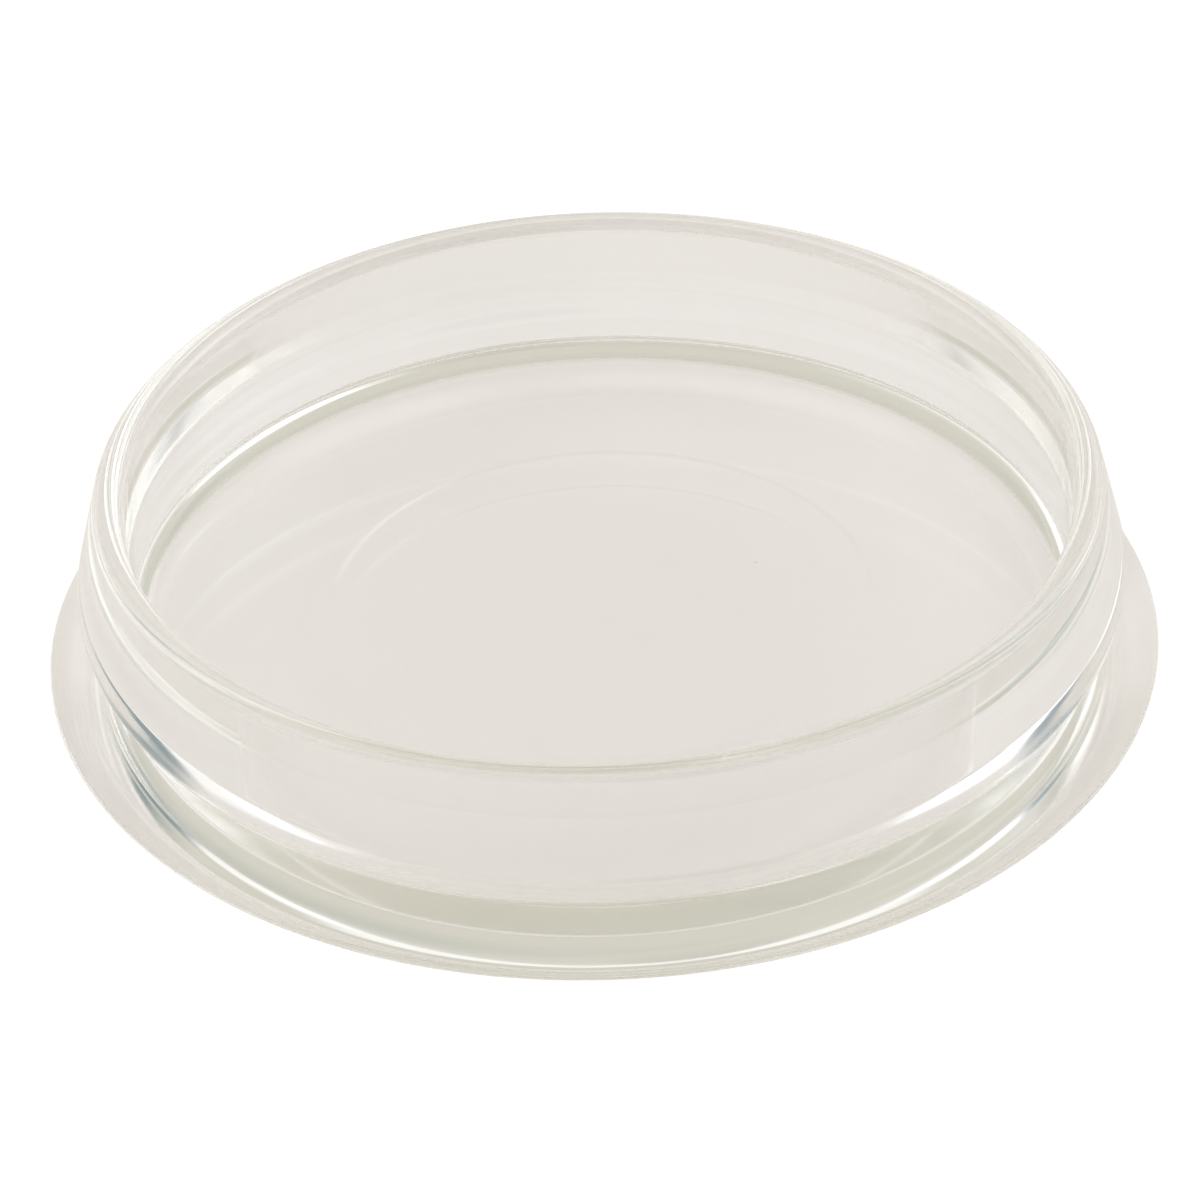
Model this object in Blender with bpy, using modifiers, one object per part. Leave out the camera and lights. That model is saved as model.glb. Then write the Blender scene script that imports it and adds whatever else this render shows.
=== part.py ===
"""Clear caster cup: one moulded dish that stands under a furniture leg or caster wheel.

The cup is a single turned body. Its section starts at the middle of the floor inside, runs out to
the wall, over the rounded rim, down the outside to a swelling above the foot, tucks in to a rounded
groove, and leaves along the hollow slope of the foot to the flat underside. Lengths are in metres,
angles in degrees.
"""

import math

import bpy

# Inside of the cup
MOUTH_DIAMETER = 0.0482
INSIDE_DRAFT = 2.0
FLOOR_THICKNESS = 0.0024
FLOOR_FILLET = 0.0014
DISC_DIAMETER = 0.0278
DISC_DEPTH = 0.0001

# Wall and rim: the swelling is where the outside is widest above the foot
RIM_THICKNESS = 0.0016
WALL_RISE = 0.0046
SWELLING_HEIGHT = 0.00483
SWELLING_OVERHANG = 0.0010
SWELLING_ROUND = 0.0028

# Foot: the groove is the rounded corner where the wall tucks in and the hollow foot begins
GROOVE_ROUND = 0.00015
FOOT_HOLLOW = 0.010
FOOT_SLOPE = 23.0
FOOT_REACH = 0.0017
FOOT_EDGE = 0.0003

# Fineness of the turned surface
TURN_STEPS = 96
ARC_STEP = 15.0
GROOVE_STEP = 45.0
HOLLOW_STEP = 6.0
MERGE_DISTANCE = 0.00001

# Finish
PLASTIC_COLOUR = (0.86, 0.86, 0.82, 1.0)
PLASTIC_ROUGHNESS = 0.06
PLASTIC_INDEX = 1.5


def clear_scene():
    """Removes every object, so the script builds the same model in any file."""
    for item in list(bpy.data.objects):
        bpy.data.objects.remove(item, do_unlink=True)


def arc(centre, radius, start, end, step=ARC_STEP):
    """Points along an arc of the section, from the start angle to the end angle."""
    count = max(2, round(abs(end - start) / step))
    angles = [math.radians(start + (end - start) * i / count) for i in range(count + 1)]
    return [(centre[0] + radius * math.cos(a), centre[1] + radius * math.sin(a)) for a in angles]


def outside_tangent(upper, upper_radius, lower, lower_radius):
    """Direction in which a straight wall touches the upper and the lower circle on their outside."""
    across = upper[0] - lower[0]
    rise = upper[1] - lower[1]
    lean = math.acos((lower_radius - upper_radius) / math.hypot(across, rise))
    return math.degrees(math.atan2(rise, across) - lean)


def groove_centre(swelling_centre, hollow_centre):
    """Middle of the groove's round, which touches the swelling's circle and the circle of the foot's hollow."""
    across = hollow_centre[0] - swelling_centre[0]
    rise = hollow_centre[1] - swelling_centre[1]
    apart = math.hypot(across, rise)
    reach = SWELLING_ROUND + GROOVE_ROUND
    along = (reach**2 - (FOOT_HOLLOW - GROOVE_ROUND) ** 2 + apart**2) / (2 * apart)
    beside = math.sqrt(reach**2 - along**2)
    radius = swelling_centre[0] + (along * across + beside * rise) / apart
    height = swelling_centre[1] + (along * rise - beside * across) / apart
    return radius, height


def cup_section():
    """The cup's half section as (radius, height) points, from the floor's middle to the base's middle."""
    mouth = MOUTH_DIAMETER / 2
    rim_radius = RIM_THICKNESS / 2
    swelling = mouth + RIM_THICKNESS + SWELLING_OVERHANG
    swelling_centre = (swelling - SWELLING_ROUND, SWELLING_HEIGHT)
    rim_centre = (mouth + rim_radius, SWELLING_HEIGHT + WALL_RISE)
    wall_lean = outside_tangent(rim_centre, rim_radius, swelling_centre, SWELLING_ROUND)

    draft = math.radians(INSIDE_DRAFT)
    fillet_height = FLOOR_THICKNESS + FLOOR_FILLET
    wall_inside = mouth - (rim_centre[1] - fillet_height) * math.tan(draft)
    fillet_centre = (wall_inside - FLOOR_FILLET / math.cos(draft), fillet_height)

    foot = swelling + FOOT_REACH
    slope = math.radians(FOOT_SLOPE)
    hollow_centre = (foot + FOOT_HOLLOW * math.sin(slope), FOOT_EDGE + FOOT_HOLLOW * math.cos(slope))
    groove = groove_centre(swelling_centre, hollow_centre)
    tuck = math.degrees(math.atan2(swelling_centre[1] - groove[1], groove[0] - swelling_centre[0]))
    foot_start = 180.0 + math.degrees(math.atan2(hollow_centre[1] - groove[1], hollow_centre[0] - groove[0]))
    foot_end = 270.0 - FOOT_SLOPE

    disc = DISC_DIAMETER / 2
    section = [(0.0, FLOOR_THICKNESS - DISC_DEPTH), (disc, FLOOR_THICKNESS - DISC_DEPTH)]
    section += [(disc, FLOOR_THICKNESS)]
    section += arc(fillet_centre, FLOOR_FILLET, -90.0, -INSIDE_DRAFT)
    section += arc(rim_centre, rim_radius, 180.0, wall_lean)
    section += arc(swelling_centre, SWELLING_ROUND, wall_lean, -tuck)
    section += arc(groove, GROOVE_ROUND, 180.0 - tuck, foot_start, GROOVE_STEP)[1:]
    section += arc(hollow_centre, FOOT_HOLLOW, foot_start, foot_end, HOLLOW_STEP)[1:]
    section += [(foot, 0.0), (0.0, 0.0)]
    return section


def clear_plastic():
    """Clear moulded plastic with a faint warm tint."""
    material = bpy.data.materials.new("clear_plastic")
    material.use_nodes = True
    shader = material.node_tree.nodes["Principled BSDF"]
    shader.inputs["Base Color"].default_value = PLASTIC_COLOUR
    shader.inputs["Roughness"].default_value = PLASTIC_ROUGHNESS
    shader.inputs["Metallic"].default_value = 0.0
    shader.inputs["IOR"].default_value = PLASTIC_INDEX
    shader.inputs["Transmission Weight"].default_value = 1.0
    return material


def turned_body(name, section, material, collection):
    """Turns a half section about the upright axis into one closed body."""
    points = [(radius, 0.0, height) for radius, height in section]
    edges = [(i, i + 1) for i in range(len(points) - 1)]
    mesh = bpy.data.meshes.new(name)
    mesh.from_pydata(points, edges, [])
    mesh.materials.append(material)
    body = bpy.data.objects.new(name, mesh)
    collection.objects.link(body)
    turn = body.modifiers.new("turn", "SCREW")
    turn.axis = "Z"
    turn.angle = 2 * math.pi
    turn.steps = TURN_STEPS
    turn.render_steps = TURN_STEPS
    turn.use_merge_vertices = True
    turn.merge_threshold = MERGE_DISTANCE
    turn.use_smooth_shade = True
    return body


clear_scene()
cup_parts = bpy.data.collections.new("caster_cup")
bpy.context.scene.collection.children.link(cup_parts)
turned_body("cup", cup_section(), clear_plastic(), cup_parts)
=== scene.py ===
"""Clear caster cup on a pale studio floor, seen from the front and above."""

import math

import bpy
import numpy as np
from mathutils import Matrix, Vector


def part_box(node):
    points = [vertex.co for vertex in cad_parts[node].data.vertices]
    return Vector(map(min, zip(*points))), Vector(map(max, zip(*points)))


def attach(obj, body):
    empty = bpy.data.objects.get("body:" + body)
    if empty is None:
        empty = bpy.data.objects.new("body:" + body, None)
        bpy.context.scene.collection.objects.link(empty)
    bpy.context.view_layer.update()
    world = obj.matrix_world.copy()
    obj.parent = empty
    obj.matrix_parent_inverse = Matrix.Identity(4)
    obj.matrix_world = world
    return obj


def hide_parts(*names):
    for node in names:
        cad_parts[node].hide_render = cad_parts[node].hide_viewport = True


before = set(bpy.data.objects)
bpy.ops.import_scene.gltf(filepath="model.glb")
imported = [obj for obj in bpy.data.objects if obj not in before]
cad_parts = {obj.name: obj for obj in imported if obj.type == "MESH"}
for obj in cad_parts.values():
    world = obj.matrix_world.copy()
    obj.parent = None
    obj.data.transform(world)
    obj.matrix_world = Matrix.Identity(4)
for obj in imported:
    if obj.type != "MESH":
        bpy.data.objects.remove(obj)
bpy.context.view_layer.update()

# Cup
# The whole object: one dish of clear plastic, injection moulded in a two-part steel mould. The mould leaves
# a polished face, slow waves where the plastic shrank as it set, and a witness ring round the floor's middle.
# Nothing is fixed to it, and it stands loose on the floor.

CUP_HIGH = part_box("cup")[1]
FOOT_RADIUS = CUP_HIGH.x
CUP_HEIGHT = CUP_HIGH.z
MOUTH_RADIUS = 0.0241
INSIDE_DRAFT = math.radians(2.0)
FLOOR_HEIGHT = 0.0024
FLOOR_FILLET = 0.0014
DISC_RADIUS = 0.0139
DISC_DEPTH = 0.00005
DISC_STEP = 0.00040
RIM_ROUND = 0.0008
SWELLING_RADIUS = 0.0267
SWELLING_ROUND = 0.0028
SWELLING_HEIGHT = 0.00483
GROOVE_ROUND = 0.00015
FOOT_HOLLOW = 0.010
FOOT_SLOPE = math.radians(23.0)
FOOT_EDGE = 0.0003
FOOT_EDGE_ROUND = 0.00012
DISC_STEP_POINTS = 10
FILLET_POINTS = 14
RIM_POINTS = 22
SWELLING_POINTS = 18
GROOVE_POINTS = 8
HOLLOW_POINTS = 14
EDGE_POINTS = 5
TURN_STEPS = 720
PLASTIC_INDEX = 1.5
PLASTIC_COLOUR = (1.0, 1.0, 1.0, 1.0)
TINT_COLOUR = (0.50, 0.4875, 0.25, 1.0)
TINT_PER_METRE = 4.0
POLISH = (0.035, 0.075)
WEAR_SCALE = 900.0
WEAR_DETAIL = 4.0
WEAR_RANGE = (0.35, 0.75)
WAVE_SCALE = 260.0
WAVE_DETAIL = 1.0
WAVE_DEPTH = 0.000004
SPECK_SCALE = 240.0
SPECK_SHARE = 0.035
SPECK_ROUGHNESS = 0.35
SPECK_DEPTH = 0.00002


def arc(centre, radius, start, end, count):
    """An arc: centre plus radius times (cosine, sine) of angles spread evenly from start to end."""
    angle = np.linspace(start, end, count)
    return np.stack([centre[0] + radius * np.cos(angle), centre[1] + radius * np.sin(angle)], axis=1)


def line(start, end):
    """A straight stretch: a few points between two ends, close to them so that shading bends only there."""
    share = np.array([[0.004], [0.04], [0.5], [0.96], [0.996]])
    return np.array(start) * (1 - share) + np.array(end) * share


def soft_step(start, end, count):
    """A step with no corner: the radius runs evenly, the height as three times its square less two cubes."""
    share = np.linspace(0.0, 1.0, count)[:, None]
    rise = share * share * (3 - 2 * share)
    return np.array(start) * [1, 0] * (1 - share) + np.array(end) * [1, 0] * share + (
        np.array(start) * [0, 1] * (1 - rise) + np.array(end) * [0, 1] * rise)


def groove_centre(swelling, hollow):
    """Middle of the groove's round, by the cosine rule: it touches the swelling's and hollow's circles."""
    across = hollow - swelling
    apart = np.hypot(*across)
    reach = SWELLING_ROUND + GROOVE_ROUND
    along = (reach**2 - (FOOT_HOLLOW - GROOVE_ROUND) ** 2 + apart**2) / (2 * apart)
    beside = math.sqrt(reach**2 - along**2)
    return swelling + (along * across + beside * np.array([across[1], -across[0]])) / apart


def cup_section():
    """The cup's half section, (radius, height), from the floor's middle to the underside's middle.

    Straight stretches joined by arcs: floor, disc step, fillet, drafted inside, rim, leaning outside that
    touches the rim's and the swelling's circles, swelling, groove, foot, foot edge, underside.
    """
    swelling = np.array([SWELLING_RADIUS - SWELLING_ROUND, SWELLING_HEIGHT])
    rim = np.array([MOUTH_RADIUS + RIM_ROUND, CUP_HEIGHT - RIM_ROUND])
    between = rim - swelling
    lean = math.atan2(between[1], between[0]) - math.acos((SWELLING_ROUND - RIM_ROUND) / np.hypot(*between))
    fillet_height = FLOOR_HEIGHT + FLOOR_FILLET
    wall = MOUTH_RADIUS - (rim[1] - fillet_height) * math.tan(INSIDE_DRAFT)
    fillet = np.array([wall - FLOOR_FILLET / math.cos(INSIDE_DRAFT), fillet_height])
    disc_floor = FLOOR_HEIGHT - DISC_DEPTH
    step_low = (DISC_RADIUS - DISC_STEP / 2, disc_floor)
    step_high = (DISC_RADIUS + DISC_STEP / 2, FLOOR_HEIGHT)
    foot_normal = np.array([math.sin(FOOT_SLOPE), math.cos(FOOT_SLOPE)])
    hollow = np.array([FOOT_RADIUS, FOOT_EDGE]) + FOOT_HOLLOW * foot_normal
    groove = groove_centre(swelling, hollow)
    tuck = math.atan2(swelling[1] - groove[1], groove[0] - swelling[0])
    foot_start = math.atan2(hollow[1] - groove[1], hollow[0] - groove[0]) + math.pi
    foot_end = 1.5 * math.pi - FOOT_SLOPE
    edge_top = np.array([FOOT_RADIUS - FOOT_EDGE_ROUND, FOOT_EDGE - FOOT_EDGE_ROUND / 2])
    edge_low = np.array([FOOT_RADIUS - FOOT_EDGE_ROUND, FOOT_EDGE_ROUND])
    flat_end = np.array([FOOT_RADIUS - FOOT_EDGE_ROUND, 0.0])
    inner_wall = fillet + FLOOR_FILLET * np.array([math.cos(INSIDE_DRAFT), -math.sin(INSIDE_DRAFT)])
    rim_inside = rim - np.array([RIM_ROUND, 0.0])
    rim_outside = rim + RIM_ROUND * np.array([math.cos(lean), math.sin(lean)])
    swelling_top = swelling + SWELLING_ROUND * np.array([math.cos(lean), math.sin(lean)])
    return np.concatenate([
        [[0.0, disc_floor]],
        line((0.0, disc_floor), step_low),
        soft_step(step_low, step_high, DISC_STEP_POINTS),
        line(step_high, (fillet[0], FLOOR_HEIGHT)),
        arc(fillet, FLOOR_FILLET, -math.pi / 2, -INSIDE_DRAFT, FILLET_POINTS),
        line(inner_wall, rim_inside),
        arc(rim, RIM_ROUND, math.pi, lean, RIM_POINTS),
        line(rim_outside, swelling_top),
        arc(swelling, SWELLING_ROUND, lean, -tuck, SWELLING_POINTS),
        arc(groove, GROOVE_ROUND, math.pi - tuck, foot_start, GROOVE_POINTS)[1:],
        arc(hollow, FOOT_HOLLOW, foot_start, foot_end, HOLLOW_POINTS)[1:-1],
        arc(edge_top, FOOT_EDGE_ROUND, math.pi / 2 - FOOT_SLOPE, 0.0, EDGE_POINTS),
        arc(edge_low, FOOT_EDGE_ROUND, 0.0, -math.pi / 2, EDGE_POINTS),
        line(flat_end, (0.0, 0.0)),
        [[0.0, 0.0]],
    ])


def turned_mesh(name, section, steps):
    """A closed surface of two parameters: place along the section, and angle round the upright axis.

    x and y are the section's radius times the angle's cosine and sine, and z is the section's height.
    The section's two ends lie on the axis, so each becomes one point with a fan of triangles.
    """
    angle = np.arange(steps) * (2 * math.pi / steps)
    rings = section[1:-1]
    radius, height = rings[:, :1], rings[:, 1:]
    grid = np.stack([radius * np.cos(angle), radius * np.sin(angle), height + 0 * angle], axis=2)
    first = np.array([[0.0, 0.0, section[0, 1]]])
    last = np.array([[0.0, 0.0, section[-1, 1]]])
    points = np.concatenate([first, grid.reshape(-1, 3), last])
    here = np.arange(steps)
    after = (here + 1) % steps
    row = 1 + np.arange(len(rings) - 1)[:, None] * steps
    below = row + steps
    quads = np.stack([row + here, below + here, below + after, row + after], axis=2).reshape(-1, 4)
    end = len(points) - 1
    low = end - steps
    start_fan = np.stack([0 * here, 1 + here, 1 + after], axis=1)
    end_fan = np.stack([0 * here + end, low + after, low + here], axis=1)
    mesh = bpy.data.meshes.new(name)
    mesh.from_pydata(points.tolist(), [], start_fan.tolist() + quads.tolist() + end_fan.tolist())
    mesh.shade_smooth()
    mesh.update()
    return mesh


def clear_plastic():
    """Clear plastic: a polished face with slow waves, fine wear and dust, and a tint that grows inwards."""
    material = bpy.data.materials.new("clear_plastic")
    material.use_nodes = True
    nodes = material.node_tree.nodes
    links = material.node_tree.links
    place = nodes.new("ShaderNodeTexCoord").outputs["Object"]

    def noise(scale, detail):
        """Noise over the object, in cells of one over the scale, in metres."""
        texture = nodes.new("ShaderNodeTexNoise")
        texture.inputs["Scale"].default_value = scale
        texture.inputs["Detail"].default_value = detail
        links.new(place, texture.inputs["Vector"])
        return texture.outputs["Fac"]

    def ramp(value, low, high, start, end):
        """A value's stretch from low to high, spread between a start and an end."""
        spread = nodes.new("ShaderNodeMapRange")
        spread.inputs["From Min"].default_value = low
        spread.inputs["From Max"].default_value = high
        spread.inputs["To Min"].default_value = start
        spread.inputs["To Max"].default_value = end
        links.new(value, spread.inputs["Value"])
        return spread.outputs["Result"]

    def bump(height, distance, normal=None):
        """A bump of a height, as deep as the distance in metres, on top of another one."""
        relief = nodes.new("ShaderNodeBump")
        relief.inputs["Distance"].default_value = distance
        links.new(height, relief.inputs["Height"])
        if normal:
            links.new(normal, relief.inputs["Normal"])
        return relief.outputs["Normal"]

    specks = nodes.new("ShaderNodeTexVoronoi")
    specks.inputs["Scale"].default_value = SPECK_SCALE
    links.new(place, specks.inputs["Vector"])
    speck = ramp(specks.outputs["Distance"], 0.0, SPECK_SHARE, 1.0, 0.0)
    polish = ramp(noise(WEAR_SCALE, WEAR_DETAIL), *WEAR_RANGE, *POLISH)
    roughness = nodes.new("ShaderNodeMath")
    roughness.operation = "MULTIPLY_ADD"
    roughness.inputs[1].default_value = SPECK_ROUGHNESS
    links.new(speck, roughness.inputs[0])
    links.new(polish, roughness.inputs[2])
    waves = bump(noise(WAVE_SCALE, WAVE_DETAIL), WAVE_DEPTH)
    normal = bump(speck, SPECK_DEPTH, waves)

    shader = nodes["Principled BSDF"]
    shader.inputs["Base Color"].default_value = PLASTIC_COLOUR
    shader.inputs["IOR"].default_value = PLASTIC_INDEX
    shader.inputs["Transmission Weight"].default_value = 1.0
    links.new(roughness.outputs["Value"], shader.inputs["Roughness"])
    links.new(normal, shader.inputs["Normal"])
    depth = nodes.new("ShaderNodeVolumeAbsorption")
    depth.inputs["Color"].default_value = TINT_COLOUR
    depth.inputs["Density"].default_value = TINT_PER_METRE
    links.new(depth.outputs["Volume"], nodes["Material Output"].inputs["Volume"])
    return material


cup_mesh = turned_mesh("clear_cup", cup_section(), TURN_STEPS)
cup_mesh.materials.append(clear_plastic())
cup = bpy.data.objects.new("clear_cup", cup_mesh)
bpy.context.scene.collection.objects.link(cup)
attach(cup, "root")
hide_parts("cup")

# Floor
# A wide sheet of matt, pale paper, laid flat just under the cup. It takes the cup's soft shadow, and its
# colour is the white ground of the view.

FLOOR_SIZE = 6.0
FLOOR_DROP = 0.00005
PAPER_COLOUR = (0.83, 0.795, 0.775, 1.0)
PAPER_LIFT_COLOUR = (0.90, 0.94, 1.0, 1.0)
PAPER_LIFT_DIRECT = 0.40
PAPER_LIFT_THROUGH = 0.09


def pale_paper():
    """Matt paper: the camera sees it lifted to white, and plastic and gloss see it a little lifted."""
    material = bpy.data.materials.new("pale_paper")
    material.use_nodes = True
    nodes = material.node_tree.nodes
    links = material.node_tree.links
    nodes.remove(nodes["Principled BSDF"])
    paper = nodes.new("ShaderNodeBsdfDiffuse")
    paper.inputs["Color"].default_value = PAPER_COLOUR
    lift = nodes.new("ShaderNodeEmission")
    lift.inputs["Color"].default_value = PAPER_LIFT_COLOUR
    ray = nodes.new("ShaderNodeLightPath")
    seen_through = nodes.new("ShaderNodeMath")
    seen_through.operation = "MAXIMUM"
    links.new(ray.outputs["Is Glossy Ray"], seen_through.inputs[0])
    links.new(ray.outputs["Is Transmission Ray"], seen_through.inputs[1])
    through_share = nodes.new("ShaderNodeMath")
    through_share.operation = "MULTIPLY"
    through_share.inputs[1].default_value = PAPER_LIFT_THROUGH
    links.new(seen_through.outputs["Value"], through_share.inputs[0])
    strength = nodes.new("ShaderNodeMath")
    strength.operation = "MULTIPLY_ADD"
    strength.inputs[1].default_value = PAPER_LIFT_DIRECT
    links.new(ray.outputs["Is Camera Ray"], strength.inputs[0])
    links.new(through_share.outputs["Value"], strength.inputs[2])
    links.new(strength.outputs["Value"], lift.inputs["Strength"])
    both = nodes.new("ShaderNodeAddShader")
    links.new(paper.outputs["BSDF"], both.inputs[0])
    links.new(lift.outputs["Emission"], both.inputs[1])
    links.new(both.outputs["Shader"], nodes["Material Output"].inputs["Surface"])
    material.cycles.emission_sampling = "NONE"
    return material


corner = FLOOR_SIZE / 2
floor_mesh = bpy.data.meshes.new("studio_floor")
floor_mesh.from_pydata(
    [(-corner, -corner, -FLOOR_DROP), (corner, -corner, -FLOOR_DROP),
     (corner, corner, -FLOOR_DROP), (-corner, corner, -FLOOR_DROP)],
    [], [(0, 1, 2, 3)])
floor_mesh.materials.append(pale_paper())
studio_floor = bpy.data.objects.new("studio_floor", floor_mesh)
bpy.context.scene.collection.objects.link(studio_floor)

# Light
# A tent of pale cloth lights the cup from every side, stronger from the left, the right and low down. It is
# greyer behind the cup, and darker cards hang beside that and in front, which give the plastic its lines.

BACKGROUND_COLOUR = (1.0, 1.0, 1.0, 1.0)
TENT_COLOUR = (1.03, 1.015, 0.985, 1.0)
LOW_CLOTH_COLOUR = (1.4, 1.4, 1.4, 1.0)
LOW_CLOTH_TOP = math.radians(10.0)
# The colour sockets of a mix node.
MIX_SHARE = 0
MIX_FIRST = 6
MIX_SECOND = 7
MIX_RESULT = 2
# Azimuth, elevation, radius and softness in degrees, and the cloth's colour there.
TENT_ZONES = [
    (95.0, 50.0, 40.0, 10.0, (0.65, 0.63, 0.545, 1.0)),
    (90.0, 9.0, 8.0, 4.0, (0.60, 0.58, 0.48, 1.0)),
    (112.0, 45.0, 11.0, 8.0, (0.55, 0.55, 0.48, 1.0)),
    (196.0, 24.0, 14.0, 8.0, (1.4, 1.4, 1.4, 1.0)),
    (0.0, 12.0, 25.0, 9.0, (1.9, 1.9, 2.0, 1.0)),
    (140.0, 29.0, 13.0, 6.0, (0.20, 0.27, 0.29, 1.0)),
    (33.0, 31.0, 8.0, 5.0, (0.29, 0.35, 0.37, 1.0)),
    (57.0, 20.0, 8.0, 5.0, (1.5, 1.5, 1.5, 1.0)),
    (290.0, 30.0, 16.0, 8.0, (0.18, 0.20, 0.20, 1.0)),
    (102.0, 17.0, 4.0, 3.0, (1.5, 1.5, 1.5, 1.0)),
]


def towards(azimuth, elevation):
    """The direction at an azimuth from +X towards +Y and an elevation above the floor, in degrees."""
    turn = math.radians(azimuth)
    rise = math.radians(elevation)
    return Vector((math.cos(rise) * math.cos(turn), math.cos(rise) * math.sin(turn), math.sin(rise)))


world = bpy.data.worlds.new("studio_tent")
bpy.context.scene.world = world
world.use_nodes = True
tent = world.node_tree.nodes
tent_links = world.node_tree.links
direction = tent.new("ShaderNodeTexCoord").outputs["Generated"]
upright = tent.new("ShaderNodeSeparateXYZ")
tent_links.new(direction, upright.inputs["Vector"])
above_low_cloth = tent.new("ShaderNodeMapRange")
above_low_cloth.interpolation_type = "SMOOTHSTEP"
above_low_cloth.inputs["From Max"].default_value = math.sin(LOW_CLOTH_TOP)
tent_links.new(upright.outputs["Z"], above_low_cloth.inputs["Value"])
plain_cloth = tent.new("ShaderNodeMix")
plain_cloth.data_type = "RGBA"
plain_cloth.inputs[MIX_FIRST].default_value = LOW_CLOTH_COLOUR
plain_cloth.inputs[MIX_SECOND].default_value = TENT_COLOUR
tent_links.new(above_low_cloth.outputs["Result"], plain_cloth.inputs[MIX_SHARE])
colour = plain_cloth.outputs[MIX_RESULT]
for azimuth, elevation, radius, softness, shade in TENT_ZONES:
    nearness = tent.new("ShaderNodeVectorMath")
    nearness.operation = "DOT_PRODUCT"
    nearness.inputs[1].default_value = towards(azimuth, elevation)
    tent_links.new(direction, nearness.inputs[0])
    inside = tent.new("ShaderNodeMapRange")
    inside.interpolation_type = "SMOOTHSTEP"
    inside.inputs["From Min"].default_value = math.cos(math.radians(radius + softness))
    inside.inputs["From Max"].default_value = math.cos(math.radians(radius - softness))
    tent_links.new(nearness.outputs["Value"], inside.inputs["Value"])
    paint = tent.new("ShaderNodeMix")
    paint.data_type = "RGBA"
    paint.inputs[MIX_SECOND].default_value = shade
    tent_links.new(inside.outputs["Result"], paint.inputs[MIX_SHARE])
    tent_links.new(colour, paint.inputs[MIX_FIRST])
    colour = paint.outputs[MIX_RESULT]
cloth = tent["Background"]
tent_links.new(colour, cloth.inputs["Color"])
white = tent.new("ShaderNodeBackground")
white.inputs["Color"].default_value = BACKGROUND_COLOUR
ray = tent.new("ShaderNodeLightPath")
pick = tent.new("ShaderNodeMixShader")
tent_links.new(ray.outputs["Is Camera Ray"], pick.inputs["Fac"])
tent_links.new(cloth.outputs["Background"], pick.inputs[1])
tent_links.new(white.outputs["Background"], pick.inputs[2])
tent_links.new(pick.outputs["Shader"], tent["World Output"].inputs["Surface"])

# Camera
# A long lens from the front, looking down on the cup and leaning a little, as the photograph does. Clear
# plastic needs many bounces, and the gloss isn't blurred, so that the rim and the foot stay clear.

CAMERA_DISTANCE = 0.3976
CAMERA_ELEVATION = math.radians(35.26)
CAMERA_LEAN = math.radians(-2.15)
IMAGE_SIZE = 1202
FOCAL_PIXELS = 7743
AIM_ABOVE_BASE = 40.8
AIM_BESIDE_AXIS = -1.3
SENSOR_WIDTH = 36.0
NEAREST_SEEN = 0.01
LIGHT_BOUNCES = 32

back = Vector((0.0, -math.cos(CAMERA_ELEVATION), math.sin(CAMERA_ELEVATION)))
upward = Vector((0.0, math.sin(CAMERA_ELEVATION), math.cos(CAMERA_ELEVATION)))
metres_per_pixel = CAMERA_DISTANCE / FOCAL_PIXELS
aim = upward * (AIM_ABOVE_BASE * metres_per_pixel) + Vector((AIM_BESIDE_AXIS * metres_per_pixel, 0.0, 0.0))
lens = bpy.data.cameras.new("camera")
lens.sensor_width = SENSOR_WIDTH
lens.lens = FOCAL_PIXELS * SENSOR_WIDTH / IMAGE_SIZE
lens.clip_start = NEAREST_SEEN
camera = bpy.data.objects.new("camera", lens)
turn = (aim - back * CAMERA_DISTANCE).to_track_quat("-Z", "Y").to_matrix().to_4x4()
camera.matrix_world = Matrix.Translation(back * CAMERA_DISTANCE) @ turn @ Matrix.Rotation(CAMERA_LEAN, 4, "Z")
bpy.context.scene.collection.objects.link(camera)
bpy.context.scene.camera = camera
bpy.context.scene.view_settings.view_transform = "Standard"
bpy.context.scene.cycles.blur_glossy = 0.0
bpy.context.scene.cycles.max_bounces = LIGHT_BOUNCES
bpy.context.scene.cycles.glossy_bounces = LIGHT_BOUNCES
bpy.context.scene.cycles.transmission_bounces = LIGHT_BOUNCES
